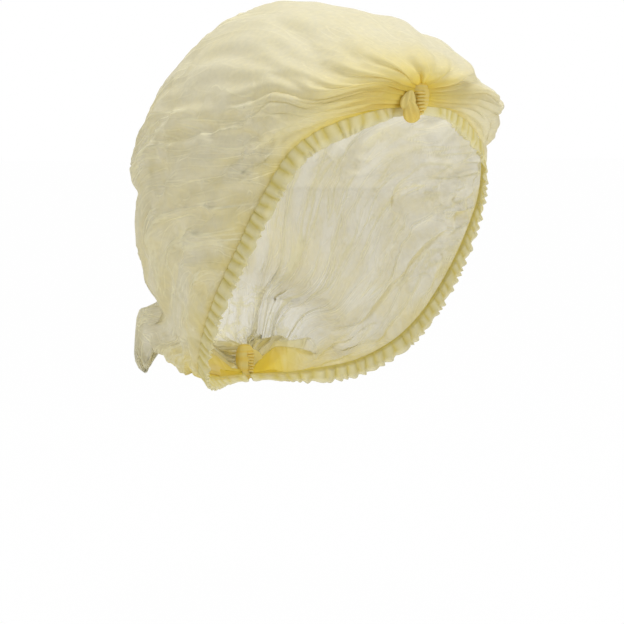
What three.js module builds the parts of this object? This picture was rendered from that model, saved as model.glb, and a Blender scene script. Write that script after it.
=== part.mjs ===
// A disposable pleated hair cover in its worn form: one nonwoven sheet, pleated from front to back,
// its two ends gathered and welded, with an elasticated ruffled hem down each side of the opening.
// Millimetres, +Z up, the opening towards -Y and the cover's left side towards +X.
// The origin is the inside of the crown, at the top of the hollow, where the cover is held up.

import * as THREE from 'three';

// The sheet
const CLOTH_WALL = 1.6;
const CLOTH_COLOUR = '#e6ddb4';
const PLEATS = 17;
const STEPS_PER_PLEAT = 4;
const STEPS_PER_SECTION = 2;
// How fast the sheet spreads from its middle line, as a multiple of the side point's distance.
const TOP_SPREAD = 3.36;

// The hems, whose bands stand on an upright oval
const HEM_WIDTH = 9.5;
const HEM_WALL = 2.0;
const HEM_COLOUR = '#d8cc8c';
const HEM_RUFFLES = 62;
const HEM_RUFFLE_HEIGHT = 1.0;
const HEM_SCALLOP = 0.7;
// How far each hem lies inside the sheet's edge, and beyond it.
const HEM_SINK = 0.5;
const HEM_GAP = 0.7;
// The share of the sheet's length that each end of a hem stops short of its gather.
const HEM_END_MARGIN = 0.004;
const OVAL_HALF_WIDTH = 76;
const OVAL_HALF_LENGTH = 98;

// The welded gathers, which hang in the arch that each end of the sheet leaves
const GATHER_RIBS = 9;
const GATHER_RIB_HEIGHT = 0.9;
const GATHER_COLOUR = '#dcc25e';
const GATHER_SIDES = 16;
const GATHER_HEIGHT = 22;
const GATHER_HALF_WIDTH = 7.4;
const GATHER_HALF_DEPTH = 5.2;
const GATHER_ROUNDNESS = 0.42;
const GATHER_DROP = 2.2;

// The sheet's sections, a row each from the front gather to the nape gather.
// along: share of the sheet's length. top: its middle line. side: halfway from there to the left hem.
// hem: its left edge. tilt: how far the band below that edge leans in.
// pleat: how high the pleats stand.
const SECTIONS = [
  { along: 0.000, topY: -94, topZ: -39, sideX: 8, sideY: -95, sideZ: -47,
    hemX: 7, hemY: -92, hemZ: -55, tilt: 0.00, pleat: 0.2 },
  { along: 0.045, topY: -98, topZ: -35, sideX: 29, sideY: -96, sideZ: -43,
    hemX: 22, hemY: -89, hemZ: -57, tilt: 0.00, pleat: 1.3 },
  { along: 0.105, topY: -91, topZ: -27, sideX: 57, sideY: -86, sideZ: -49,
    hemX: 41, hemY: -80, hemZ: -63, tilt: 0.00, pleat: 2.2 },
  { along: 0.190, topY: -72, topZ: -17, sideX: 67, sideY: -69, sideZ: -44,
    hemX: 59, hemY: -70, hemZ: -74, tilt: 0.00, pleat: 2.0 },
  { along: 0.310, topY: -34, topZ: -2, sideX: 74, sideY: -46, sideZ: -42,
    hemX: 71, hemY: -57, hemZ: -99, tilt: 0.00, pleat: 1.5 },
  { along: 0.440, topY: 12, topZ: 2, sideX: 82, sideY: -6, sideZ: -52,
    hemX: 75, hemY: -38, hemZ: -128, tilt: 0.00, pleat: 1.3 },
  { along: 0.560, topY: 62, topZ: -8, sideX: 83, sideY: 33, sideZ: -72,
    hemX: 75, hemY: -17, hemZ: -155, tilt: 0.05, pleat: 1.3 },
  { along: 0.670, topY: 98, topZ: -42, sideX: 77, sideY: 60, sideZ: -99,
    hemX: 71, hemY: -1, hemZ: -174, tilt: 0.15, pleat: 1.4 },
  { along: 0.760, topY: 108, topZ: -86, sideX: 69, sideY: 71, sideZ: -128,
    hemX: 64, hemY: 13, hemZ: -187, tilt: 0.30, pleat: 1.6 },
  { along: 0.830, topY: 102, topZ: -126, sideX: 54, sideY: 70, sideZ: -154,
    hemX: 55, hemY: 27, hemZ: -196, tilt: 0.50, pleat: 1.8 },
  { along: 0.900, topY: 97, topZ: -158, sideX: 49, sideY: 99, sideZ: -169,
    hemX: 43, hemY: 40, hemZ: -201, tilt: 0.80, pleat: 2.0 },
  { along: 0.955, topY: 90, topZ: -180, sideX: 40, sideY: 103, sideZ: -202,
    hemX: 25, hemY: 54, hemZ: -204, tilt: 1.10, pleat: 1.3 },
  { along: 1.000, topY: 66, topZ: -188, sideX: 8, sideY: 67, sideZ: -196,
    hemX: 7, hemY: 62, hemZ: -204, tilt: 1.30, pleat: 0.2 },
];

// The main dents of the crumpled cloth, a row each.
// across: -1 at the right hem, 0 on the middle line, 1 at the left hem. reach: half width of the dent.
const DENTS = [
  { along: 0.33, across: -0.50, depth: 6, reachAlong: 0.045, reachAcross: 0.10 },
  { along: 0.54, across: -0.62, depth: 5, reachAlong: 0.050, reachAcross: 0.08 },
  { along: 0.58, across: -0.82, depth: 4, reachAlong: 0.060, reachAcross: 0.07 },
  { along: 0.36, across: 0.46, depth: 5, reachAlong: 0.050, reachAcross: 0.10 },
  { along: 0.60, across: 0.66, depth: 5, reachAlong: 0.050, reachAcross: 0.09 },
  { along: 0.66, across: 0.10, depth: 4, reachAlong: 0.060, reachAcross: 0.12 },
];

// A cubic from one value to another over a span, with a slope at each end.
function cubic(from, to, slopeFrom, slopeTo, span, at) {
  const t = at / span;
  const ease = t * t * (3 - 2 * t);
  const leave = t * (1 - t) * (1 - t) * slopeFrom * span;
  const arrive = t * t * (t - 1) * slopeTo * span;
  return from + (to - from) * ease + leave + arrive;
}

// A smooth curve along the sheet through one column of its sections.
function column(name, along) {
  const last = SECTIONS.length - 1;
  const gap = (i) => SECTIONS[i + 1].along - SECTIONS[i].along;
  const rise = (i) => (SECTIONS[i + 1][name] - SECTIONS[i][name]) / gap(i);
  const slope = (i) => {
    if (i === 0) return rise(0);
    if (i === last) return rise(last - 1);
    return (rise(i - 1) * gap(i) + rise(i) * gap(i - 1)) / (gap(i - 1) + gap(i));
  };
  let i = 0;
  while (i < last - 1 && along > SECTIONS[i + 1].along) i += 1;
  const from = SECTIONS[i];
  const to = SECTIONS[i + 1];
  return cubic(from[name], to[name], slope(i), slope(i + 1), gap(i), along - from.along);
}

// One coordinate of the arch from the middle line, through the side point, to the hem.
function arch(top, side, hem, topSlope, offset) {
  const half = 0.5;
  const sideSlope = hem - top;
  const hemSlope = 3 * (hem - side) - sideSlope / 2;
  if (offset < half) return cubic(top, side, topSlope, sideSlope, half, offset);
  return cubic(side, hem, sideSlope, hemSlope, half, offset - half);
}

// The sheet before it is pleated.
function sheetPoint(along, across) {
  const at = (name) => column(name, along);
  const offset = Math.abs(across);
  const x = arch(0, at('sideX'), at('hemX'), TOP_SPREAD * at('sideX'), offset);
  const y = arch(at('topY'), at('sideY'), at('hemY'), 0, offset);
  const z = arch(at('topZ'), at('sideZ'), at('hemZ'), 0, offset);
  return new THREE.Vector3(Math.sign(across) * x, y, z);
}

function sheetNormal(along, across) {
  const step = 0.004;
  const before = sheetPoint(Math.max(0, along - step), across);
  const after = sheetPoint(Math.min(1, along + step), across);
  const right = sheetPoint(along, Math.max(-1, across - step));
  const left = sheetPoint(along, Math.min(1, across + step));
  return left.sub(right).cross(after.sub(before)).normalize();
}

// How far the cloth stands out from the plain sheet: its pleats, less its dents.
function foldHeight(along, across) {
  const turn = 2 * Math.PI * PLEATS * (across + 1) / 2;
  const pleat = Math.asin(Math.sin(turn)) / (Math.PI / 2);
  let height = pleat * column('pleat', along);
  for (const dent of DENTS) {
    const u = (along - dent.along) / dent.reachAlong;
    const v = (across - dent.across) / dent.reachAcross;
    height -= dent.depth * Math.exp(-(u * u + v * v) / 2);
  }
  return height;
}

function solid(points, faces) {
  const geometry = new THREE.BufferGeometry().setFromPoints(points);
  geometry.setIndex(faces);
  geometry.computeVertexNormals();
  return geometry;
}

// The faces of a tube through rings of as many points each.
function tubeFaces(rings, sides) {
  const faces = [];
  for (let ring = 0; ring + 1 < rings; ring += 1) {
    for (let side = 0; side < sides; side += 1) {
      const a = ring * sides + side;
      const b = ring * sides + (side + 1) % sides;
      faces.push(a, b, b + sides, a, b + sides, a + sides);
    }
  }
  return faces;
}

// A solid through rings of points, closed by a fan at each end.
function loft(rings) {
  const sides = rings[0].length;
  const points = rings.flat();
  const faces = tubeFaces(rings.length, sides);
  for (const end of [0, rings.length - 1]) {
    const centre = new THREE.Vector3();
    for (const point of rings[end]) centre.addScaledVector(point, 1 / sides);
    const hub = points.push(centre) - 1;
    for (let side = 0; side < sides; side += 1) {
      const a = end * sides + side;
      const b = end * sides + (side + 1) % sides;
      if (end === 0) faces.push(hub, b, a);
      else faces.push(hub, a, b);
    }
  }
  return solid(points, faces);
}

// The same solid on the other side of the middle plane, with its faces turned to point out again.
function mirrored(geometry) {
  const copy = geometry.clone().scale(-1, 1, 1);
  copy.setIndex(Array.from(geometry.getIndex().array).reverse());
  copy.computeVertexNormals();
  return copy;
}

// The sheet's cut at one station: over its outer face, then back along its inner face.
function sheetRing(along) {
  const steps = PLEATS * STEPS_PER_PLEAT;
  const outer = [];
  const inner = [];
  for (let i = 0; i <= steps; i += 1) {
    const across = 2 * i / steps - 1;
    const normal = sheetNormal(along, across);
    const point = sheetPoint(along, across).addScaledVector(normal, foldHeight(along, across));
    outer.push(point);
    inner.push(point.clone().addScaledVector(normal, -CLOTH_WALL));
  }
  return outer.concat(inner.reverse());
}

// The pleated sheet, with a strip between its two faces along each gathered end.
function crownGeometry() {
  const rings = [sheetRing(0)];
  for (let i = 0; i + 1 < SECTIONS.length; i += 1) {
    for (let k = 1; k <= STEPS_PER_SECTION; k += 1) {
      const share = k / STEPS_PER_SECTION;
      rings.push(sheetRing(THREE.MathUtils.lerp(SECTIONS[i].along, SECTIONS[i + 1].along, share)));
    }
  }
  const sides = rings[0].length;
  const faces = tubeFaces(rings.length, sides);
  const far = (rings.length - 1) * sides;
  for (let a = 0; a + 1 < sides / 2; a += 1) {
    const b = a + 1;
    const underA = sides - 1 - a;
    const underB = underA - 1;
    faces.push(b, a, underA, b, underA, underB);
    faces.push(far + a, far + b, far + underA, far + b, far + underB, far + underA);
  }
  return solid(rings.flat(), faces);
}

// The left hem: a band on from the sheet's edge, standing on the oval, its free edge ruffled.
function hemGeometry() {
  const steps = 2 * HEM_RUFFLES;
  const rings = [];
  for (let i = 0; i <= steps; i += 1) {
    const along = THREE.MathUtils.lerp(HEM_END_MARGIN, 1 - HEM_END_MARGIN, i / steps);
    const edge = sheetPoint(along, 1);
    const run = sheetPoint(along + HEM_END_MARGIN, 1).sub(sheetPoint(along - HEM_END_MARGIN, 1));
    const out = new THREE.Vector3(edge.x / OVAL_HALF_WIDTH ** 2, edge.y / OVAL_HALF_LENGTH ** 2, 0);
    out.normalize();
    out.z = -column('tilt', along);
    out.normalize();
    const away = run.cross(out).normalize();
    const place = (width, height) => {
      return edge.clone().addScaledVector(away, width).addScaledVector(out, height - HEM_SINK);
    };
    const ruffle = i % 2 === 0 ? 1 : -1;
    const middle = HEM_GAP + HEM_WIDTH / 2;
    const free = HEM_GAP + HEM_WIDTH + ruffle * HEM_SCALLOP;
    const lift = ruffle * HEM_RUFFLE_HEIGHT;
    rings.push([
      place(HEM_GAP, 0),
      place(middle, lift / 2),
      place(free, lift),
      place(free, lift - HEM_WALL),
      place(middle, lift / 2 - HEM_WALL),
      place(HEM_GAP, -HEM_WALL),
    ]);
  }
  return loft(rings);
}

// A welded gather: the stacked pleats as ribs down a tongue with rounded ends.
function gatherGeometry() {
  const levels = 2 * GATHER_RIBS;
  const rings = [];
  for (let i = 0; i <= levels; i += 1) {
    const height = GATHER_HEIGHT * i / levels;
    const swell = Math.sin(Math.PI * (i + 1) / (levels + 2)) ** GATHER_ROUNDNESS;
    const groove = i % 2 === 0 ? GATHER_RIB_HEIGHT : 0;
    const halfWidth = GATHER_HALF_WIDTH * swell - groove;
    const halfDepth = GATHER_HALF_DEPTH * swell - groove;
    const ring = [];
    for (let side = 0; side < GATHER_SIDES; side += 1) {
      const turn = 2 * Math.PI * side / GATHER_SIDES;
      ring.push(new THREE.Vector3(halfWidth * Math.cos(turn), halfDepth * Math.sin(turn), height));
    }
    rings.push(ring);
  }
  return loft(rings);
}

const hairCover = new THREE.Group();

function addPiece(name, geometry, colour) {
  const cloth = new THREE.MeshStandardMaterial({ color: colour, roughness: 0.85, metalness: 0 });
  const piece = new THREE.Mesh(geometry, cloth);
  piece.name = name;
  hairCover.add(piece);
  return piece;
}

function addGather(name, section) {
  const gather = addPiece(name, gatherGeometry(), GATHER_COLOUR);
  gather.position.set(0, section.topY, section.topZ - GATHER_DROP - GATHER_HEIGHT);
}

const leftHem = hemGeometry();
addPiece('crown', crownGeometry(), CLOTH_COLOUR);
addPiece('hem_left', leftHem, HEM_COLOUR);
addPiece('hem_right', mirrored(leftHem), HEM_COLOUR);
addGather('front_gather', SECTIONS[0]);
addGather('nape_gather', SECTIONS[SECTIONS.length - 1]);

export default hairCover;
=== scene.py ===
import math

import bmesh
import bpy
import numpy as np
from mathutils import Matrix, Vector


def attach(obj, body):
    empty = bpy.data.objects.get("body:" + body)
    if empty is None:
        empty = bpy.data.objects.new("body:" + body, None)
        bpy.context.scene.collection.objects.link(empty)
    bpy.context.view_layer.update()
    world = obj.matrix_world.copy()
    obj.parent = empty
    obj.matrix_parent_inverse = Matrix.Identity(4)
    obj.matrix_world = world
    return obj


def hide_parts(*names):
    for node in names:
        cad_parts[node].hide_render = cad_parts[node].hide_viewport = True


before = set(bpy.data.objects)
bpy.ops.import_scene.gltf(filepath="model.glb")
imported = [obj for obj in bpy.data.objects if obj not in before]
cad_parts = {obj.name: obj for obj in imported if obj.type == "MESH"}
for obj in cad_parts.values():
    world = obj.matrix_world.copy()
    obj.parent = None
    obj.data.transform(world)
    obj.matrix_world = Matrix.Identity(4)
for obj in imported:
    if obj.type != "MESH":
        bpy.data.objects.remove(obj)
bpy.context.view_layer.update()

scene = bpy.context.scene

# The camera stands off the cap's front right, a little above the opening and far enough back that the cap
# keeps its proportions.
CAMERA_TURN = math.radians(-36)
CAMERA_RISE = math.radians(4)
CAMERA_DISTANCE = 1.30
CAMERA_AIM = Vector((0, 0, -0.165))
CAMERA_LENS = 138.9


def look_at(place, aim):
    return (aim - place).to_track_quat("-Z", "Y").to_euler()


camera = bpy.data.objects.new("camera", bpy.data.cameras.new("camera"))
scene.collection.objects.link(camera)
camera_way = Vector((
    math.sin(CAMERA_TURN) * math.cos(CAMERA_RISE),
    -math.cos(CAMERA_TURN) * math.cos(CAMERA_RISE),
    math.sin(CAMERA_RISE),
))
camera.location = CAMERA_AIM + CAMERA_DISTANCE * camera_way
camera.rotation_euler = look_at(camera.location, CAMERA_AIM)
camera.data.lens = CAMERA_LENS
scene.camera = camera

# The studio: a pale floor well below the cap, a white surround, and a soft box overhead with a weaker one
# at the front. They only light the cap and are no part of it.
FLOOR_DROP = 0.325
FLOOR_SIZE = 60.0
FLOOR_COLOUR = (0.80, 0.80, 0.79, 1)
SURROUND_LIGHT = 0.48
BACKDROP_WHITE = 1.0
FLOOR_WHITE = 0.99
SOFT_BOXES = {
    "overhead_box": {"place": (0.10, 0.02, 1.0), "size": 0.40, "watts": 9.2},
    "front_box": {"place": (0.35, -1.15, -0.02), "size": 0.6, "watts": 4.0},
}
SOFT_BOX_AIM = Vector((0, 0, -0.08))


def shown(name, bm):
    mesh = bpy.data.meshes.new(name)
    bm.to_mesh(mesh)
    bm.free()
    piece = bpy.data.objects.new(name, mesh)
    scene.collection.objects.link(piece)
    return piece


def plain_material(name):
    material = bpy.data.materials.new(name)
    material.use_nodes = True
    material.node_tree.nodes.clear()
    return material


class Dye:
    """A socket in one material. Arithmetic on it adds the Math node that does it."""

    def __init__(self, tree, socket=None):
        self.tree = tree
        self.socket = socket

    def node(self, kind, settings=None, sockets=None, output=0):
        made = self.tree.nodes.new(kind)
        for name, value in (settings or {}).items():
            setattr(made, name, value)
        for name, value in (sockets or {}).items():
            if isinstance(value, Dye):
                self.tree.links.new(value.socket, made.inputs[name])
            else:
                made.inputs[name].default_value = value
        return Dye(self.tree, made.outputs[output] if made.outputs else None)

    def _math(self, operation, first, second):
        return self.node("ShaderNodeMath", {"operation": operation}, {0: first, 1: second})

    def __add__(self, other):
        return self._math("ADD", self, other)

    __radd__ = __add__

    def __mul__(self, other):
        return self._math("MULTIPLY", self, other)

    __rmul__ = __mul__

    def __sub__(self, other):
        return self._math("SUBTRACT", self, other)

    def __rsub__(self, other):
        return self._math("SUBTRACT", other, self)


floor_mesh = bmesh.new()
bmesh.ops.create_grid(floor_mesh, x_segments=1, y_segments=1, size=FLOOR_SIZE / 2)
bmesh.ops.translate(floor_mesh, verts=floor_mesh.verts, vec=(0, 0, -FLOOR_DROP))
floor = shown("studio_floor", floor_mesh)
floor_material = plain_material("studio_floor")
floor_material.cycles.emission_sampling = "NONE"
floor_dye = Dye(floor_material.node_tree)
floor_seen = floor_dye.node("ShaderNodeLightPath", None, None, "Is Camera Ray")
floor_matt = floor_dye.node("ShaderNodeBsdfDiffuse", None, {"Color": FLOOR_COLOUR})
floor_white = floor_dye.node("ShaderNodeEmission", None, {"Strength": BACKDROP_WHITE})
floor_finish = floor_dye.node(
    "ShaderNodeMixShader", None, {0: floor_seen * FLOOR_WHITE, 1: floor_matt, 2: floor_white}
)
floor_dye.node("ShaderNodeOutputMaterial", None, {"Surface": floor_finish})
floor.data.materials.append(floor_material)

world = bpy.data.worlds.new("surround")
scene.world = world
world.use_nodes = True
world.node_tree.nodes.clear()
surround = Dye(world.node_tree)
seen = surround.node("ShaderNodeLightPath", None, None, "Is Camera Ray")
strength = seen * (BACKDROP_WHITE - SURROUND_LIGHT) + SURROUND_LIGHT
glow = surround.node("ShaderNodeBackground", None, {"Color": (1, 1, 1, 1), "Strength": strength})
surround.node("ShaderNodeOutputWorld", None, {"Surface": glow})

for name, box in SOFT_BOXES.items():
    light = bpy.data.lights.new(name, "AREA")
    light.energy = box["watts"]
    light.size = box["size"]
    lamp = bpy.data.objects.new(name, light)
    lamp.location = box["place"]
    lamp.rotation_euler = look_at(lamp.location, SOFT_BOX_AIM)
    scene.collection.objects.link(lamp)
scene.view_settings.view_transform = "Standard"

# The crown: one sheet of thin spunbond cloth, pleated lengthways, gathered to a point at the front and at
# the back and opened out between them. It is laid out as a flat grid, bent to the worn sections, then let go
# as cloth that is wider than the room it has, so that its pleats buckle.
MM = 0.001
SHEET_COLUMNS = (
    "along", "top_y", "top_z", "side_x", "side_y", "side_z", "hem_x", "hem_y", "hem_z", "tilt", "pleat",
)
SHEET_SECTIONS = np.array([
    (0.000, -94, -45, 8, -95, -50, 7, -92, -55, 0.00, 0.2),
    (0.045, -98, -38, 29, -96, -45, 22, -89, -57, 0.00, 1.2),
    (0.105, -91, -28, 57, -86, -49, 41, -80, -63, 0.00, 1.7),
    (0.190, -72, -17, 67, -69, -44, 59, -70, -74, 0.00, 1.4),
    (0.310, -34, -2, 74, -46, -42, 71, -57, -99, 0.00, 1.2),
    (0.440, 12, 2, 82, -6, -52, 75, -38, -128, 0.00, 1.3),
    (0.560, 62, -8, 83, 33, -72, 75, -17, -155, 0.05, 1.3),
    (0.670, 98, -42, 77, 60, -99, 71, -1, -174, 0.15, 1.4),
    (0.760, 108, -86, 69, 71, -128, 64, 13, -187, 0.30, 1.6),
    (0.830, 102, -126, 54, 70, -154, 55, 27, -196, 0.50, 1.8),
    (0.900, 97, -158, 49, 99, -169, 43, 40, -201, 0.80, 2.0),
    (0.955, 90, -180, 40, 103, -202, 25, 54, -204, 1.10, 1.3),
    (1.000, 66, -188, 8, 67, -196, 7, 62, -204, 1.30, 0.2),
], dtype=float)
TOP_SPREAD = 3.36
PLEATS = 17
SHEET_CELLS_ALONG = 80
SHEET_CELLS_ACROSS = 153
SHEET_LENGTH = 0.40
SHEET_WIDTH = 0.43
SHEET_THICKNESS = 0.25 * MM
SHEET_STEP = 0.004
HEM_RUFFLES = 45
RUFFLE_WANDER = 0.16
RUFFLE_ROUNDNESS = 0.7
PLEAT_WANDER = 0.14
HELD_MARGIN = 0.001
HEM_EASE = 0.06
END_EASE = 0.03
SIDE_PLEAT_LOSS = 0.55
START_PLEAT = 0.5
START_WAVE = 1.0 * MM
SPARE_PLEAT = 1.2
SPARE_PLEAT_BEHIND = 1.6
SPARE_WAVE = 1.2
SPARE_WAVE_BEHIND = 1.4
SPARE_CRUMPLE = 1.8 * MM
SPARE_RUFFLE = 2.4 * MM
SPARE_RUFFLE_REACH = 0.10
SETTLE_FRAMES = 24


def cubic(start, end, slope_start, slope_end, span, at):
    t = at / span
    ease = t * t * (3 - 2 * t)
    leave = t * (1 - t) ** 2 * slope_start * span
    arrive = t * t * (t - 1) * slope_end * span
    return start + (end - start) * ease + leave + arrive


def column(name, along):
    knots = SHEET_SECTIONS[:, 0]
    values = SHEET_SECTIONS[:, SHEET_COLUMNS.index(name)]
    gaps = np.diff(knots)
    rises = np.diff(values) / gaps
    inner = (rises[:-1] * gaps[1:] + rises[1:] * gaps[:-1]) / (gaps[:-1] + gaps[1:])
    slopes = np.concatenate([rises[:1], inner, rises[-1:]])
    i = np.clip(np.searchsorted(knots, along, side="right") - 1, 0, len(gaps) - 1)
    return cubic(values[i], values[i + 1], slopes[i], slopes[i + 1], gaps[i], along - knots[i])


def arch(top, side, hem, top_slope, offset):
    side_slope = hem - top
    hem_slope = 3 * (hem - side) - side_slope / 2
    upper = cubic(top, side, top_slope, side_slope, 0.5, offset)
    lower = cubic(side, hem, side_slope, hem_slope, 0.5, offset - 0.5)
    return np.where(offset < 0.5, upper, lower)


def sheet_point(along, across):
    at = {name: column(name, along) for name in SHEET_COLUMNS[1:9]}
    offset = np.abs(across)
    x = arch(0 * offset, at["side_x"], at["hem_x"], TOP_SPREAD * at["side_x"], offset)
    y = arch(at["top_y"], at["side_y"], at["hem_y"], 0, offset)
    z = arch(at["top_z"], at["side_z"], at["hem_z"], 0, offset)
    return np.stack([np.sign(across) * x, y, z], axis=-1) * MM


def unit(vectors):
    return vectors / np.linalg.norm(vectors, axis=-1, keepdims=True)


def hem_to_hem(along, across):
    """The way across the sheet at a point, from the right hem towards the left, not of unit length."""
    left = sheet_point(along, np.minimum(1, across + SHEET_STEP))
    right = sheet_point(along, np.maximum(-1, across - SHEET_STEP))
    return left - right


def sheet_normal(along, across):
    back = sheet_point(np.minimum(1, along + SHEET_STEP), across)
    front = sheet_point(np.maximum(0, along - SHEET_STEP), across)
    return unit(np.cross(hem_to_hem(along, across), back - front))


def smooth_step(low, high, at):
    t = np.clip((at - low) / (high - low), 0, 1)
    return t * t * (3 - 2 * t)


def zigzag(turns):
    return np.arcsin(np.sin(2 * np.pi * turns)) / (np.pi / 2)


def drift(along, across, waves_along, waves_across, seed, parts=24):
    """A smooth field that wanders about 0, with about so many waves over the sheet each way."""
    draw = np.random.default_rng(seed)
    field = 0
    for _ in range(parts):
        turn_along, turn_across = draw.normal(size=2) * (waves_along, waves_across)
        field = field + np.sin(2 * np.pi * (turn_along * along + turn_across * across + draw.uniform()))
    return field / math.sqrt(parts / 2)


def hem_share(along):
    """How far round the hem a place along the sheet is, as a share of the hem's own length."""
    stations = np.linspace(0, 1, 401)
    edge = sheet_point(stations, np.ones_like(stations))
    run = np.concatenate([[0], np.cumsum(np.linalg.norm(np.diff(edge, axis=0), axis=1))])
    return np.interp(along, stations, run / run[-1])


def ruffle(along):
    """The hem's gathers: rounded tucks, 1 on a tuck and 0 in the narrow crease beside it."""
    share = hem_share(along)
    wander = RUFFLE_WANDER * drift(share, 0, 8, 0, seed=31)
    return np.abs(np.sin(np.pi * (HEM_RUFFLES * share + wander))) ** RUFFLE_ROUNDNESS


def pleat_turns(along, across):
    return PLEATS * (across + 1) / 2 + PLEAT_WANDER * drift(along, across, 1.5, 1.2, seed=1)


def vertex_numbers(mesh):
    places = np.empty(len(mesh.vertices) * 3)
    mesh.vertices.foreach_get("co", places)
    return places.reshape(-1, 3)


def mesh_values(mesh, name):
    values = np.empty(len(mesh.vertices))
    mesh.attributes[name].data.foreach_get("value", values)
    return values


def keep_values(mesh, name, values):
    mesh.attributes.new(name, "FLOAT", "POINT").data.foreach_set("value", values)


flat_sheet = bmesh.new()
flat_sheet.loops.layers.uv.new("cloth")
bmesh.ops.create_grid(
    flat_sheet, x_segments=SHEET_CELLS_ACROSS, y_segments=SHEET_CELLS_ALONG, size=1, calc_uvs=True
)
crown = shown("crown_sheet", flat_sheet)
grid = vertex_numbers(crown.data)
across = grid[:, 0].copy()
along = (grid[:, 1] + 1) / 2
keep_values(crown.data, "along", along)
keep_values(crown.data, "across", across)

held_edge = (np.abs(across) > 1 - HELD_MARGIN) | (along < HELD_MARGIN) | (along > 1 - HELD_MARGIN)
near_hem = np.clip((1 - np.abs(across)) / HEM_EASE, 0, 1)
near_end = np.clip(np.minimum(along, 1 - along) / END_EASE, 0, 1)
behind = smooth_step(0.30, 0.60, along)
sideways = smooth_step(0.2, 0.45, np.abs(across))
pleat_height = column("pleat", along) * MM * (1 - SIDE_PLEAT_LOSS * sideways * (1 - behind))
pleats = zigzag(pleat_turns(along, across))
worn = sheet_point(along, across)
outward = sheet_normal(along, across)
start_fold = START_PLEAT * pleat_height * pleats + START_WAVE * drift(along, across, 2.5, 6, seed=2)
spare_fold = (SPARE_PLEAT + SPARE_PLEAT_BEHIND * behind) * pleat_height * pleats
spare_fold += (SPARE_WAVE + SPARE_WAVE_BEHIND * behind) * MM * drift(along, across, 3, 10, seed=3)
spare_fold += SPARE_CRUMPLE * behind * drift(along, across, 8, 8, seed=4)
hem_tucks = zigzag(HEM_RUFFLES * hem_share(along))
spare_fold += SPARE_RUFFLE * np.exp(-(1 - np.abs(across)) / SPARE_RUFFLE_REACH) * hem_tucks * near_end
start = worn + outward * (start_fold * near_hem * near_end)[:, None]
spare = worn + outward * spare_fold[:, None]
crown.data.vertices.foreach_set("co", start.ravel())
crown.shape_key_add(name="worn")
spare_key = crown.shape_key_add(name="spare")
spare_key.data.foreach_set("co", spare.ravel())
held = crown.vertex_groups.new(name="held")
held.add([int(i) for i in np.flatnonzero(held_edge)], 1.0, "REPLACE")

buckle = crown.modifiers.new("buckle", "CLOTH")
cloth = buckle.settings
cloth.quality = 6
cloth.mass = 0.02
cloth.air_damping = 2
cloth.tension_stiffness = 20
cloth.compression_stiffness = 20
cloth.shear_stiffness = 8
cloth.bending_stiffness = 0.001
cloth.tension_damping = 3
cloth.compression_damping = 3
cloth.shear_damping = 3
cloth.bending_damping = 0.05
cloth.vertex_group_mass = "held"
cloth.effector_weights.gravity = 0.05
cloth.use_pressure = True
cloth.uniform_pressure_force = 0.25
cloth.rest_shape_key = spare_key
buckle.collision_settings.use_collision = False
buckle.collision_settings.use_self_collision = False
buckle.point_cache.frame_start = 1
buckle.point_cache.frame_end = SETTLE_FRAMES
for frame_number in range(1, SETTLE_FRAMES + 1):
    scene.frame_set(frame_number)
refine = crown.modifiers.new("refine", "SUBSURF")
refine.levels = refine.render_levels = 1
settled = bpy.data.meshes.new_from_object(crown.evaluated_get(bpy.context.evaluated_depsgraph_get()))
crown.modifiers.clear()
crown.vertex_groups.clear()
crown.shape_key_clear()
crown.data = settled

# The sheet's sharp creases, where the thin cloth has been crushed. Each family lies where a wandering field
# changes sign, so its ridges meander, meet and stop, with hollow facets between them. Down the sides they
# run level, and a crease shows as a pale line where it does. The pale line is partly denser crushed cloth
# and partly a painted highlight along the fold.
CREASES = (
    {"where": "crown", "along": 3, "across": 5, "slope": 0.55, "seed": 41},
    {"where": "crown", "along": 3, "across": 10, "slope": 0.50, "seed": 42},
    {"where": "crown", "along": 4, "across": 17, "slope": 0.26, "seed": 43},
    {"where": "crown", "along": 13, "across": 6, "slope": 0.30, "seed": 45},
    {"where": "tail", "along": 24, "across": 4, "slope": 0.50, "seed": 46},
    {"where": "tail", "along": 40, "across": 9, "slope": 0.40, "seed": 47},
)
CREASE_REACH = 4.0 * MM
CREASE_LEAST_REACH = 0.4
CREASE_DROP = 140 * MM
CREASE_LEVEL_SHARE = 0.9
CREASE_LEVEL_FADE = 0.85
CREASE_LEVEL_FROM = 0.55
CREASE_COVER = 0.35
CREASE_PATCHINESS = 0.8
CREASE_PATCH_SEED = 100
CREASE_RIDGE = 0.8
CREASE_STEP = 0.0005
CREASE_HEM_EASE = 0.08
CREASE_FULL_WIDTH = 70
CREASE_LEAST_ROOM = 0.1
CREASE_LEAST_FRONT = 0.20
DENT_COLUMNS = ("along", "across", "depth", "reach_along", "reach_across")
DENTS = (
    (0.54, -0.62, 8, 0.040, 0.10),
    (0.58, -0.80, 7, 0.045, 0.08),
    (0.69, -0.45, 7, 0.030, 0.12),
    (0.75, -0.60, 4, 0.090, 0.30),
    (0.83, -0.52, 6, 0.060, 0.25),
    (0.36, 0.46, 5, 0.035, 0.12),
    (0.60, 0.66, 8, 0.040, 0.11),
    (0.72, 0.50, 6, 0.050, 0.16),
    (0.66, 0.10, 6, 0.050, 0.14),
)
SWELLS = (
    (0.47, -0.13, 3.5, 0.180, 0.45),
    (0.27, 0.15, 3, 0.130, 0.36),
    (0.20, 0.72, 4, 0.120, 0.34),
    (0.20, -0.72, 2, 0.120, 0.34),
)
RIB_REACH = 0.15
RIB_HEIGHT = 0.6 * MM
TUCK_HEIGHT = 1.3 * MM
TUCK_LEVEL = 0.6
TUCK_REACH = 0.05
PRESSED_REACH = 0.065
PRESSED_HEIGHT = 0.9 * MM
PRESSED_LEAN_LIMIT = 0.75
PRESSED_HEM_EASE = 0.05
PRESSED_END_EASE = 0.01
PRESSED_TURN = 0.08
PRESSED_PALENESS = 0.6
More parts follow.
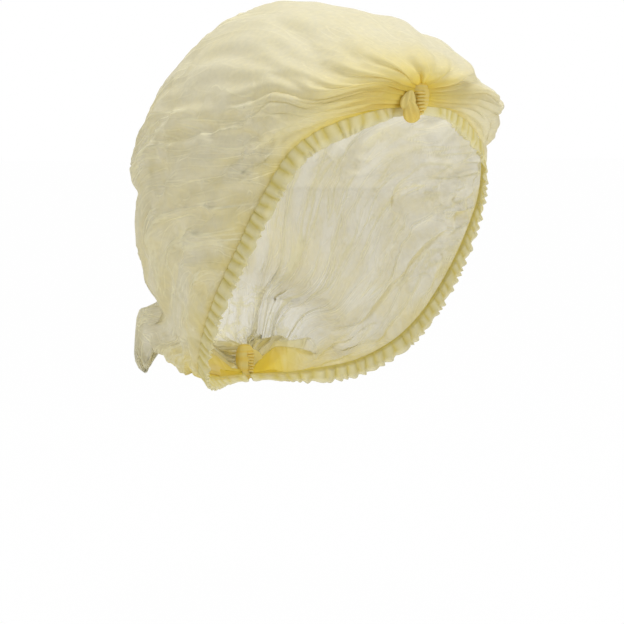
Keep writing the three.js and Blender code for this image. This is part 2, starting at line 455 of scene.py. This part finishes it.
TAIL_EDGE_Y = (60 * MM, 67 * MM, 72 * MM, 77 * MM)
TAIL_EDGE_Z = (-205 * MM, -198 * MM, -191 * MM, -185 * MM)
TAIL_CORNER_DROP = 18 * MM
TAIL_CORNER_START = 88 * MM
TAIL_CORNER_FULL = 93 * MM
TAIL_MIDDLE_DROP = 13 * MM
TAIL_MIDDLE_START = 20 * MM
TAIL_MIDDLE_FULL = 4 * MM
TAIL_RAGGEDNESS = 1.8 * MM
TAIL_DRAWN_UP = 0.8
CORNER_WAY_X = 0.807
CORNER_WAY_Y = 0.586
WAIST_PULL = 0.85
WAIST = np.array([
    (-170.0, 110.0), (-166.5, 96.0), (-164.3, 85.3), (-162.0, 85.3), (-156.6, 86.7), (-149.0, 90.8),
    (-137.5, 92.5), (-132.5, 94.5), (-116.0, 94.5), (-111.0, 94.0), (-105.6, 93.4), (-103.0, 92.4),
    (-100.3, 91.4), (-97.6, 93.6), (-94.9, 95.4), (-89.6, 96.4), (-80.0, 99.0), (-70.0, 110.0),
]) * MM
DRAWN_IN_REACH = 0.012
SHEET_TAKEN_UP = 0.65
FRONT_YELLOW_REACH = 0.032
FRONT_YELLOW_SPREAD = 0.060
BACK_YELLOW_REACH = 0.055
HEM_YELLOW = 0.42
HEM_YELLOW_REACH = 0.06
HEM_YELLOW_SPREAD = 0.10
PATCHY_YELLOW = 0.09
# Painted light: how much thinner and paler the tail is made, for light shining through it from behind.
TAIL_PAINTED_BACKLIGHT = 0.60
STREAK_COVER = 0.3
STREAK_PATCHINESS = 0.8


def crease_name(crease):
    return "crease_" + str(crease["seed"])


def levelled(along, across):
    """The place across the sheet over the top, turning into the height down its sides."""
    down = -sheet_point(along, across)[..., 2] / CREASE_DROP
    sideways = smooth_step(0.2, 0.65, np.abs(across))
    towards_back = smooth_step(0.48, 0.74, along)
    share = CREASE_LEVEL_SHARE * sideways * (1 - CREASE_LEVEL_FADE * towards_back)
    return across + share * (np.sign(across) * down - across)


def crease_web(mesh, along, across, strength):
    """How far the creases stand out. Keeps each family's distance from its lines and where they show."""
    height = 0
    rising = levelled(along, across)
    for crease in CREASES:
        waves = (crease["along"], crease["across"])
        field = drift(along, rising, *waves, seed=crease["seed"])
        steepness = 2 * math.pi * math.hypot(waves[0] / SHEET_LENGTH, waves[1] / (SHEET_WIDTH / 2))
        there = drift(along, rising, waves[0] / 2, waves[1] / 3, seed=crease["seed"] + CREASE_PATCH_SEED)
        there = np.clip(CREASE_COVER + CREASE_PATCHINESS * there, 0, 1) * strength[crease["where"]]
        height = height + crease["slope"] / steepness * (CREASE_RIDGE - np.abs(field)) * there
        reach = CREASE_REACH * (CREASE_LEAST_REACH + (1 - CREASE_LEAST_REACH) * there)
        lengthways = drift(along + CREASE_STEP, rising, *waves, seed=crease["seed"]) - field
        crossways = drift(along, rising + CREASE_STEP, *waves, seed=crease["seed"]) - field
        crossways = crossways * SHEET_LENGTH / (SHEET_WIDTH / 2)
        runs_level = np.abs(crossways) / np.hypot(lengthways, crossways)
        drawn = smooth_step(CREASE_LEVEL_FROM, 1, runs_level) if crease["where"] == "crown" else 1
        keep_values(mesh, crease_name(crease), field / steepness / reach)
        keep_values(mesh, crease_name(crease) + "_there", there * drawn)
    return height


def pushed(rows, along, across, point):
    """How far the sheet is pushed in or out. point is 1 for pointed dents and more for rounder ones."""
    depth = 0
    for row in rows:
        dent = dict(zip(DENT_COLUMNS, row))
        away_along = (along - dent["along"]) / dent["reach_along"]
        away_across = (across - dent["across"]) / dent["reach_across"]
        near = np.clip(1 - np.hypot(away_along, away_across) ** point, 0, 1)
        depth = depth + dent["depth"] * MM * near ** point
    return depth


def arch_length(along):
    """The sheet's length from hem to hem over the top at each place along it, as it is worn."""
    stations = np.linspace(0, 1, 61)
    marks = np.linspace(-1, 1, 81)
    lengths = []
    for station in stations:
        line = sheet_point(np.full_like(marks, station), marks)
        lengths.append(np.linalg.norm(np.diff(line, axis=0), axis=1).sum())
    return np.interp(along, stations, lengths)


def drawn_in(along, share):
    """How much of its width the cloth keeps where its end goes into a gather that takes up a share of it."""
    return 1 - share * np.exp(-(np.minimum(along, 1 - along) / DRAWN_IN_REACH) ** 2)


along = mesh_values(settled, "along")
across = mesh_values(settled, "across")
places = vertex_numbers(settled)
normals = np.empty(len(settled.vertices) * 3)
settled.vertex_normals.foreach_get("vector", normals)
normals = normals.reshape(-1, 3)
from_hem = 1 - np.abs(across)
from_end = np.minimum(along, 1 - along)
hem_ease = np.clip(from_hem / CREASE_HEM_EASE, 0, 1)
room = np.clip(column("side_x", along) / CREASE_FULL_WIDTH, CREASE_LEAST_ROOM, 1) * hem_ease
low_down = smooth_step(0.35, 0.65, np.abs(across)) * smooth_step(0.14, 0.30, along)
crumpled = np.clip(smooth_step(0.28, 0.66, along) + low_down, CREASE_LEAST_FRONT, 1)
tail = smooth_step(0.84, 0.92, along)
height = crease_web(settled, along, across, {"crown": crumpled, "tail": tail})
tuck = TUCK_HEIGHT * (ruffle(along) - TUCK_LEVEL) * np.exp(-from_hem / TUCK_REACH)
push = pushed(SWELLS, along, across, point=2) - pushed(DENTS, along, across, point=1.4)
places += normals * (height * room + push + tuck)[:, None]
ribs = np.exp(-(from_end / RIB_REACH) ** 2) * np.clip(from_end / END_EASE, 0, 1) * hem_ease
ribs = ribs * zigzag(2 * pleat_turns(along, across))
places += normals * (RIB_HEIGHT * ribs)[:, None]

# Near each gather the pleats are pressed flat: every fold leans over the next one, towards the hem.
pressed = np.exp(-(from_end / PRESSED_REACH) ** 2) * np.clip(from_hem / PRESSED_HEM_EASE, 0, 1)
pressed = pressed * np.clip(from_end / PRESSED_END_EASE, 0, 1)
pleat_pitch = arch_length(along) / PLEATS
fold = np.sin(2 * np.pi * pleat_turns(along, across)) * pressed
lean = np.clip(SHEET_WIDTH / arch_length(along) / 4, 0, PRESSED_LEAN_LIMIT) * pleat_pitch
lean = lean * np.tanh(across / PRESSED_TURN)
places += unit(hem_to_hem(along, across)) * (fold * lean)[:, None]
places += sheet_normal(along, across) * (fold * PRESSED_HEIGHT)[:, None]

# Down its rear corners the sheet is drawn in, with a notch halfway and a waist above its tail. The tail's
# lower edge is drawn up in an arch between its hanging corner and the gather.
corner_way = np.stack([CORNER_WAY_X * np.sign(across), CORNER_WAY_Y + 0 * across, 0 * across], axis=-1)
cornerwards = (places * corner_way).sum(axis=1)
over_waist = np.clip(cornerwards - np.interp(places[:, 2], WAIST[:, 0], WAIST[:, 1]), 0, 1)
places -= corner_way * (WAIST_PULL * over_waist * smooth_step(0.50, 0.56, along))[:, None]
cornerwards = (places * corner_way).sum(axis=1)
middlewards = smooth_step(TAIL_MIDDLE_START, TAIL_MIDDLE_FULL, np.abs(places[:, 0]))
tail_edge = np.interp(places[:, 1], TAIL_EDGE_Y, TAIL_EDGE_Z)
tail_edge = tail_edge - TAIL_CORNER_DROP * smooth_step(TAIL_CORNER_START, TAIL_CORNER_FULL, cornerwards)
tail_edge = tail_edge - TAIL_MIDDLE_DROP * middlewards
tail_edge = tail_edge + TAIL_RAGGEDNESS * drift(along, across, 6, 14, seed=71)
below = np.clip(tail_edge - places[:, 2], 0, 1) * smooth_step(0.84, 0.90, along)
places[:, 2] += TAIL_DRAWN_UP * below * (places[:, 1] > TAIL_EDGE_Y[0])
places[:, 0] *= drawn_in(along, SHEET_TAKEN_UP)
settled.vertices.foreach_set("co", places.ravel())

# The cloth is yellower and denser where its layers lie together: round the gathers, along the hems and in
# patches over the crumpled part. The tail is made thinner and its pale lines brighter: painted light that
# stands in for the light shining through it from behind.
rising = levelled(along, across)
patches = np.clip(drift(along, rising, 5, 7, seed=61), -1, 1)
front_reach = FRONT_YELLOW_REACH + FRONT_YELLOW_SPREAD * smooth_step(0.35, -0.15, across)
yellow_reach = np.where(along < 0.5, front_reach, BACK_YELLOW_REACH)
hem_reach = HEM_YELLOW_REACH + HEM_YELLOW_SPREAD * smooth_step(0.80, 0.92, along)
gathered_and_painted_light = np.exp(-from_end / yellow_reach) + HEM_YELLOW * np.exp(-from_hem / hem_reach)
# Painted light: the tail is made thinner and its pale lines brighter, for light shining through it from
# behind.
gathered_and_painted_light += PATCHY_YELLOW * crumpled * patches - TAIL_PAINTED_BACKLIGHT * tail * smooth_step(0.10, 0.35, from_hem)
streaky = np.clip(STREAK_COVER + STREAK_PATCHINESS * drift(along, rising, 5, 9, seed=62), 0, 1) * crumpled
keep_values(settled, "gathered_and_painted_light", np.clip(gathered_and_painted_light, -1, 1))
# Painted highlight: the pressed pleats' tops are made paler, partly for the fold's doubled cloth.
keep_values(settled, "pale_folds_and_highlight", PRESSED_PALENESS * pressed * np.clip(fold, 0, 1) ** 4)
keep_values(settled, "streaky", streaky)
keep_values(settled, "rising", rising)
settled.shade_smooth()
wall = crown.modifiers.new("thickness", "SOLIDIFY")
wall.thickness = SHEET_THICKNESS
wall.offset = 0

SHEET_PALE = (0.89, 0.85, 0.67, 1)
SHEET_DEEP = (0.98, 0.83, 0.12, 1)
# The pale crease colour is partly denser crushed cloth and partly painted highlight.
CREASE_AND_HIGHLIGHT_COLOUR = (1.0, 0.97, 0.78, 1)
CREASE_LINE_SHARE = 0.30
CREASE_LINE_STRENGTH = 0.95
FINE_CREASES = ((14.0, 0.030), (26.0, 0.045))
FINE_STRENGTH = 0.26
FINE_DRAWN_OUT = 0.32
LINE_PALENESS = 0.9
LINE_COVER = 0.5
LAYER_COVER = 0.75
CLOUD_SCALE = 260.0
FIBRE_SCALE = 1500.0
FIBRE_DRAWN_OUT = 0.25
FIBRE_HEIGHT = 0.07 * MM
DYE_UNEVENNESS = 0.10


def nonwoven(name, cut, pale, deep, see_through, lets_light):
    """Spunbond cloth: cloudy fibres and pale creases that are partly painted highlight, deeper and closer
    where its layers lie together or where shade is painted.
    """
    material = plain_material(name)
    dye = Dye(material.node_tree)
    place = dye.node("ShaderNodeUVMap", {"uv_map": "cloth"})
    times = {"operation": "MULTIPLY"}
    flat = dye.node("ShaderNodeVectorMath", times, {0: place, 1: (*cut, 1)})
    drawn = dye.node("ShaderNodeVectorMath", times, {0: flat, 1: (1.0, FIBRE_DRAWN_OUT, 1.0)})
    flat_noise = {"noise_dimensions": "2D"}
    cloud = dye.node(
        "ShaderNodeTexNoise", flat_noise, {"Vector": flat, "Scale": CLOUD_SCALE, "Detail": 1.0}
    )
    fibre = dye.node(
        "ShaderNodeTexNoise", flat_noise, {"Vector": drawn, "Scale": FIBRE_SCALE, "Detail": 1.0}
    )
    layers = dye.node("ShaderNodeAttribute", {"attribute_name": "gathered_and_painted_light"}, None, "Fac")
    folds = dye.node("ShaderNodeAttribute", {"attribute_name": "pale_folds_and_highlight"}, None, "Fac")
    streaky = dye.node("ShaderNodeAttribute", {"attribute_name": "streaky"}, None, "Fac")
    rising = dye.node("ShaderNodeAttribute", {"attribute_name": "rising"}, None, "Fac")
    lengthways = dye.node("ShaderNodeSeparateXYZ", None, {0: place}, 1)
    drawn_back = dye.node("ShaderNodeCombineXYZ", None, {0: rising, 1: lengthways * FINE_DRAWN_OUT})

    def line_on(field, middle, half_width):
        aside = dye.node("ShaderNodeMath", {"operation": "ABSOLUTE"}, {0: field - middle})
        return dye.node(
            "ShaderNodeMapRange", {"interpolation_type": "SMOOTHSTEP"},
            {0: aside, 1: 0.0, 2: half_width, 3: 1.0, 4: 0.0},
        )

    # The pale lines, from crease ridges, pressed pleat tops and hem tuck tops, are partly denser folded
    # cloth and partly painted highlight.
    lines = folds
    for crease in CREASES:
        field_name = crease_name(crease)
        field = dye.node("ShaderNodeAttribute", {"attribute_name": field_name}, None, "Fac")
        there = dye.node("ShaderNodeAttribute", {"attribute_name": field_name + "_there"}, None, "Fac")
        lines = lines + CREASE_LINE_STRENGTH * line_on(field, 0.0, CREASE_LINE_SHARE) * there
    for scale, half_width in FINE_CREASES:
        wander = dye.node(
            "ShaderNodeTexNoise", flat_noise, {"Vector": drawn_back, "Scale": scale, "Detail": 0.5}
        )
        lines = lines + FINE_STRENGTH * line_on(wander, 0.5, half_width) * streaky
    depth = layers + DYE_UNEVENNESS * (cloud - 0.5) + DYE_UNEVENNESS * (fibre - 0.5)
    bright = lines * LINE_PALENESS * (1 - layers)
    blend = {"data_type": "RGBA", "clamp_factor": True}
    dyed = dye.node("ShaderNodeMix", blend, {0: depth, 6: pale, 7: deep}, 2)
    colour = dye.node("ShaderNodeMix", blend, {0: bright, 6: dyed, 7: CREASE_AND_HIGHLIGHT_COLOUR}, 2)
    bump = dye.node("ShaderNodeBump", None, {"Strength": 0.6, "Distance": FIBRE_HEIGHT, "Height": fibre})
    matt = dye.node(
        "ShaderNodeBsdfPrincipled", None,
        {"Base Color": colour, "Roughness": 0.55, "Specular IOR Level": 0.3, "Normal": bump},
    )
    pale_glow, deep_glow, crease_and_highlight_glow = (
        dye.node("ShaderNodeBsdfTranslucent", None, {"Color": tint, "Normal": bump})
        for tint in (pale, deep, CREASE_AND_HIGHLIGHT_COLOUR)
    )
    dyed_glow = dye.node("ShaderNodeMixShader", None, {0: depth, 1: pale_glow, 2: deep_glow})
    glow = dye.node("ShaderNodeMixShader", None, {0: bright, 1: dyed_glow, 2: crease_and_highlight_glow})
    lit = dye.node("ShaderNodeMixShader", None, {0: lets_light, 1: matt, 2: glow})
    clear = dye.node("ShaderNodeBsdfTransparent", None, {"Color": (1, 1, 1, 1)})
    dense = dye.node("ShaderNodeMath", {"operation": "MINIMUM"}, {0: lines, 1: 1.0})
    thin = see_through * (1 - layers * LAYER_COVER) * (1 - dense * LINE_COVER) * (1.1 - 0.2 * cloud)
    cloth_finish = dye.node("ShaderNodeMixShader", None, {0: thin, 1: lit, 2: clear})
    dye.node("ShaderNodeOutputMaterial", None, {"Surface": cloth_finish})
    return material


settled.materials.clear()
settled.materials.append(nonwoven(
    "pale_nonwoven", (SHEET_WIDTH, SHEET_LENGTH), SHEET_PALE, SHEET_DEEP, see_through=0.48, lets_light=0.45
))
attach(crown, "root")
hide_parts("crown")

# The hems: the sheet's two long edges, each folded over a thread of elastic that draws it up into small
# rounded tucks, with a thin ruffled edge beyond the elastic. They bound the opening, standing on an oval.
HEM_WIDTH = 9.0 * MM
HEM_UNDERLAP = 1.5 * MM
HEM_THICKNESS = 0.4 * MM
HEM_TUCK_HEIGHT = 1.7 * MM
HEM_TUCK_UNEVENNESS = 0.30
HEM_FRILL = 1.2 * MM
HEM_SINK = 0.9 * MM
HEM_LEAN = 0.7 * MM
HEM_TAKEN_UP = 0.92
HEM_END_MARGIN = 0.004
HEM_TAPER = 0.11
HEM_END_SIZE = 0.5
HEM_CASING = 0.72
HEM_CASING_RISE = 0.22
HEM_CASING_FALL = 0.17
HEM_CASING_LOSS = 0.55
HEM_LEAST_LIFT = 0.35
HEM_FRILL_RISE = 0.12
# The hem is deepened to a dark olive at its seam and in the creases between its tucks: partly its doubled
# cloth, partly painted shade.
HEM_CREASE_SHADE = 0.85
HEM_TUCK_PALENESS = 0.6
HEM_FRILL_PALENESS = 0.7
HEM_TUCK_LINE = 0.5
HEM_CELLS_ACROSS = 16
HEM_CELLS_PER_TUCK = 12
OVAL_HALF_WIDTH = 76 * MM
OVAL_HALF_LENGTH = 98 * MM
HEM_PALE = (0.93, 0.88, 0.58, 1)
HEM_DEEP = (0.80, 0.70, 0.18, 1)


def hem_band(name, side):
    """One hem. across is 0 under the sheet's edge and 1 at the free edge."""
    strip = bmesh.new()
    strip.loops.layers.uv.new("cloth")
    cells_along = HEM_RUFFLES * HEM_CELLS_PER_TUCK
    bmesh.ops.create_grid(
        strip, x_segments=HEM_CELLS_ACROSS, y_segments=cells_along, size=1, calc_uvs=True
    )
    if side > 0:
        bmesh.ops.reverse_faces(strip, faces=strip.faces)
    band = shown(name, strip)
    grid = vertex_numbers(band.data)
    across = (grid[:, 0] + 1) / 2
    along = HEM_END_MARGIN + (1 - 2 * HEM_END_MARGIN) * (grid[:, 1] + 1) / 2
    edge = sheet_point(along, side + 0 * along)
    run = sheet_point(along + HEM_END_MARGIN, side + 0 * along)
    run = unit(run - sheet_point(along - HEM_END_MARGIN, side + 0 * along))
    out = unit(edge * (OVAL_HALF_WIDTH ** -2, OVAL_HALF_LENGTH ** -2, 0))
    out[:, 2] = -column("tilt", along)
    out = unit(out)
    away = unit(np.cross(run, out)) * side
    tuck = ruffle(along)
    fullness = 1 + HEM_TUCK_UNEVENNESS * drift(along, 0, 20, 0, seed=35 + side)
    casing = smooth_step(0, HEM_CASING_RISE, across)
    casing = casing * (1 - HEM_CASING_LOSS * smooth_step(HEM_CASING - HEM_CASING_FALL, 1, across))
    frill = smooth_step(HEM_CASING - HEM_FRILL_RISE, 1.0, across)
    wave = np.sin(2 * np.pi * HEM_RUFFLES * hem_share(along) + 2 * drift(along, 0, 10, 0, seed=33))
    taper = HEM_END_SIZE + (1 - HEM_END_SIZE) * smooth_step(0, HEM_TAPER, np.minimum(along, 1 - along))
    tucked = HEM_LEAST_LIFT + (1 - HEM_LEAST_LIFT) * tuck * fullness
    lift = HEM_TUCK_HEIGHT * casing * tucked + HEM_FRILL * frill * wave - HEM_SINK
    width = (HEM_WIDTH + HEM_UNDERLAP) * across - HEM_UNDERLAP + 0.5 * HEM_FRILL * frill * (tuck - 0.4)
    lean = HEM_LEAN * smooth_step(0, 1, across) * drift(along, 0, 14, 0, seed=34 + side)
    places = edge + away * (width * taper)[:, None] + out * (lift * taper)[:, None] + run * lean[:, None]
    places[:, 0] *= drawn_in(along, HEM_TAKEN_UP)
    band.data.vertices.foreach_set("co", places.ravel())
    # Painted shade: darker olive at the seam and in the creases between tucks, paler on the tuck tops; the
    # frill is paler for its single layer.
    layers = HEM_CREASE_SHADE - HEM_TUCK_PALENESS * casing * tuck - HEM_FRILL_PALENESS * frill
    keep_values(band.data, "gathered_and_painted_light", np.clip(layers, 0, 1))
    # Painted highlight: each tuck top gets a pale line, partly for its doubled cloth.
    keep_values(band.data, "pale_folds_and_highlight", HEM_TUCK_LINE * casing * tuck ** 4)
    band.data.shade_smooth()
    wall = band.modifiers.new("thickness", "SOLIDIFY")
    wall.thickness = HEM_THICKNESS
    wall.offset = 0
    return band


hem_cloth = nonwoven(
    "hem_nonwoven", (2 * HEM_WIDTH, SHEET_LENGTH), HEM_PALE, HEM_DEEP, see_through=0.35, lets_light=0.40
)
for name, node, side in (("left_hem_ruffle", "hem_left", 1), ("right_hem_ruffle", "hem_right", -1)):
    hem = hem_band(name, side)
    hem.data.materials.append(hem_cloth)
    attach(hem, "root")
    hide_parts(node)

# The gathers: where the sheet's own pleats are pressed together at each end and welded. The stacked folds
# show as small ribs, and the outermost fold hangs beside them as a smooth rounded tongue.
GATHERS = (
    ("front_gather_folds", "front_gather", -1),
    ("nape_gather_folds", "nape_gather", 1),
)
GATHER_CUT = (0.02, 0.02)
GATHER_FOLDS = 7
GATHER_PITCH = 1.72 * MM
GATHER_TOP_GAP = 2.8 * MM
FOLD_HALF_WIDTH = 3.1 * MM
FOLD_HALF_DEPTH = 4.6 * MM
FOLD_HALF_THICKNESS = 0.98 * MM
FOLD_PLACE_X = -3.2 * MM
FOLD_FORWARD = 0.6 * MM
FOLD_SCATTER = 0.2 * MM
FOLD_TAPER = 0.35
FOLD_TILT = 2
FOLD_TILT_GAIN = 20
FOLD_TILT_SCATTER = 2
FOLD_WRINKLE = 0.10
FOLD_BLUNTNESS = 0.6
FOLD_DEPTH = 0.45
# Painted shade: how far the colour swings deeper in the slits between the stacked folds.
FOLD_SLIT_SHADE_SWING = 0.35
BODY_HALF_WIDTH = 6.2 * MM
BODY_HALF_DEPTH = 3.6 * MM
BODY_MARGIN = 2.6 * MM
BODY_PLACE_X = -1.2 * MM
BODY_FULLNESS = 0.86
BODY_NARROWING = 0.14
BODY_BLUNTNESS = 0.7
BODY_CREASE = 0.05
TONGUE_LEAVES = (
    {"half": (5.2, 1.5, 5.8), "place": (-11.0, -3.4, -8.0), "lean": 16},
    {"half": (5.6, 1.9, 5.9), "place": (-9.8, -4.0, -13.2), "lean": -14},
)
TONGUE_FULLNESS = 0.88
TONGUE_NARROWING = 0.26
TONGUE_CREASE = 0.50
TONGUE_BEND = 0.12
TONGUE_DEPTH = 0.10
TONGUE_DEPTH_GAIN = 0.55
# Painted highlight: the tongue is painted palest from this height up.
TONGUE_HIGHLIGHT_LEVEL = -5 * MM
TONGUE_DEEP_LEVEL = -19 * MM
GATHER_PALE = (0.96, 0.85, 0.36, 1)
GATHER_DEEP = (0.90, 0.69, 0.11, 1)


def rounded(share, power):
    return math.copysign(abs(share) ** power, share)


def fold_pillow(half_width, half_depth, half_thickness):
    """A pleat's end: a flat, rounded fold of cloth with a full front edge."""
    fold = bmesh.new()
    fold.loops.layers.uv.new("cloth")
    bmesh.ops.create_uvsphere(fold, u_segments=32, v_segments=12, radius=1, calc_uvs=True)
    for vert in fold.verts:
        x, y, z = vert.co
        wrinkle = FOLD_WRINKLE * math.sin(7 * x + 3 * y)
        vert.co = (
            rounded(x, FOLD_BLUNTNESS) * half_width,
            rounded(y, FOLD_BLUNTNESS) * half_depth,
            (rounded(z, 0.7) + wrinkle) * half_thickness,
        )
    return fold


def tongue_leaf(leaf):
    """One leaf of the outermost fold: a flattened petal, full at the bottom, with soft creases along it."""
    half_width, half_depth, half_height = (size * MM for size in leaf["half"])
    petal = bmesh.new()
    petal.loops.layers.uv.new("cloth")
    bmesh.ops.create_uvsphere(petal, u_segments=40, v_segments=28, radius=1, calc_uvs=True)
    for vert in petal.verts:
        x, y, z = vert.co
        fullness = TONGUE_FULLNESS - TONGUE_NARROWING * z
        crease = TONGUE_CREASE * math.cos(8.5 * x + 2.2 * z) * (1 - x * x) * (1 - z * z)
        vert.co = (
            x * half_width * fullness + TONGUE_BEND * half_width * z * z,
            (rounded(y, 0.8) + crease * (y < 0)) * half_depth,
            z * half_height,
        )
    turn = Matrix.Rotation(math.radians(leaf["lean"]), 3, "Y")
    bmesh.ops.rotate(petal, verts=petal.verts, matrix=turn)
    bmesh.ops.translate(petal, verts=petal.verts, vec=Vector(leaf["place"]) * MM)
    return petal


def joined(target, part):
    mesh = bpy.data.meshes.new("part")
    part.to_mesh(mesh)
    part.free()
    target.from_mesh(mesh)
    bpy.data.meshes.remove(mesh)


def gather_body(drop):
    """The welded heart of a gather, from the sheet's middle line down to the hems, drop below it."""
    body = bmesh.new()
    body.loops.layers.uv.new("cloth")
    bmesh.ops.create_uvsphere(body, u_segments=48, v_segments=24, radius=1, calc_uvs=True)
    for vert in body.verts:
        x, y, z = vert.co
        fullness = BODY_FULLNESS + BODY_NARROWING * z
        crease = BODY_CREASE * math.sin(11 * z + 2 * x)
        vert.co = (
            rounded(x, BODY_BLUNTNESS) * BODY_HALF_WIDTH * fullness,
            (rounded(y, BODY_BLUNTNESS) + crease) * BODY_HALF_DEPTH * fullness,
            z * (drop / 2 + BODY_MARGIN),
        )
    bmesh.ops.translate(body, verts=body.verts, vec=(BODY_PLACE_X, 0, -drop / 2 - BODY_MARGIN / 2))
    return body


def gather_bundle(name, top, drop, facing):
    """One welded gather, hanging from its top point. facing is -1 at the front and 1 at the back."""
    bundle = bmesh.new()
    draw = np.random.default_rng(51 + facing)
    for i in range(GATHER_FOLDS):
        share = i / (GATHER_FOLDS - 1)
        swell = 1.0 - FOLD_TAPER * share ** 1.5
        fold = fold_pillow(FOLD_HALF_WIDTH * swell, FOLD_HALF_DEPTH, FOLD_HALF_THICKNESS)
        tilt = math.radians(-FOLD_TILT - FOLD_TILT_GAIN * share + draw.normal() * FOLD_TILT_SCATTER)
        bmesh.ops.rotate(fold, verts=fold.verts, matrix=Matrix.Rotation(tilt, 3, "Y"))
        aside = FOLD_PLACE_X + draw.normal() * FOLD_SCATTER
        forward = draw.normal() * FOLD_SCATTER - FOLD_FORWARD
        level = -GATHER_TOP_GAP - GATHER_PITCH * (i + 0.5)
        bmesh.ops.translate(fold, verts=fold.verts, vec=(aside, forward, level))
        joined(bundle, fold)
    joined(bundle, gather_body(drop))
    fold_verts = len(bundle.verts)
    for leaf in TONGUE_LEAVES:
        joined(bundle, tongue_leaf(leaf))
    if facing > 0:
        bmesh.ops.rotate(bundle, verts=bundle.verts, matrix=Matrix.Rotation(math.pi, 3, "Z"))
    bmesh.ops.translate(bundle, verts=bundle.verts, vec=top)
    gather = shown(name, bundle)
    gather.data.shade_smooth()
    heights = vertex_numbers(gather.data)[:, 2] - top[2]
    # Painted shade: the colour deepens on the faces turned into the slits between the stacked folds and
    # pales along their edges.
    layers = FOLD_DEPTH + FOLD_SLIT_SHADE_SWING * np.sin(2 * np.pi * heights / GATHER_PITCH)
    # The tongue is painted paler towards its top, a painted highlight, and deeper yellow towards its bottom.
    low_on_tongue = smooth_step(TONGUE_HIGHLIGHT_LEVEL, TONGUE_DEEP_LEVEL, heights[fold_verts:])
    layers[fold_verts:] = TONGUE_DEPTH + TONGUE_DEPTH_GAIN * low_on_tongue
    keep_values(gather.data, "gathered_and_painted_light", layers)
    return gather


gather_cloth = nonwoven(
    "gather_nonwoven", GATHER_CUT, GATHER_PALE, GATHER_DEEP, see_through=0.10, lets_light=0.35
)
for name, node, facing in GATHERS:
    end = dict(zip(SHEET_COLUMNS, SHEET_SECTIONS[0 if facing < 0 else -1]))
    top = Vector((0, end["top_y"], end["top_z"])) * MM
    drop = (end["top_z"] - end["hem_z"]) * MM
    gather = gather_bundle(name, top, drop, facing)
    gather.data.materials.append(gather_cloth)
    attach(gather, "root")
    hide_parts(node)
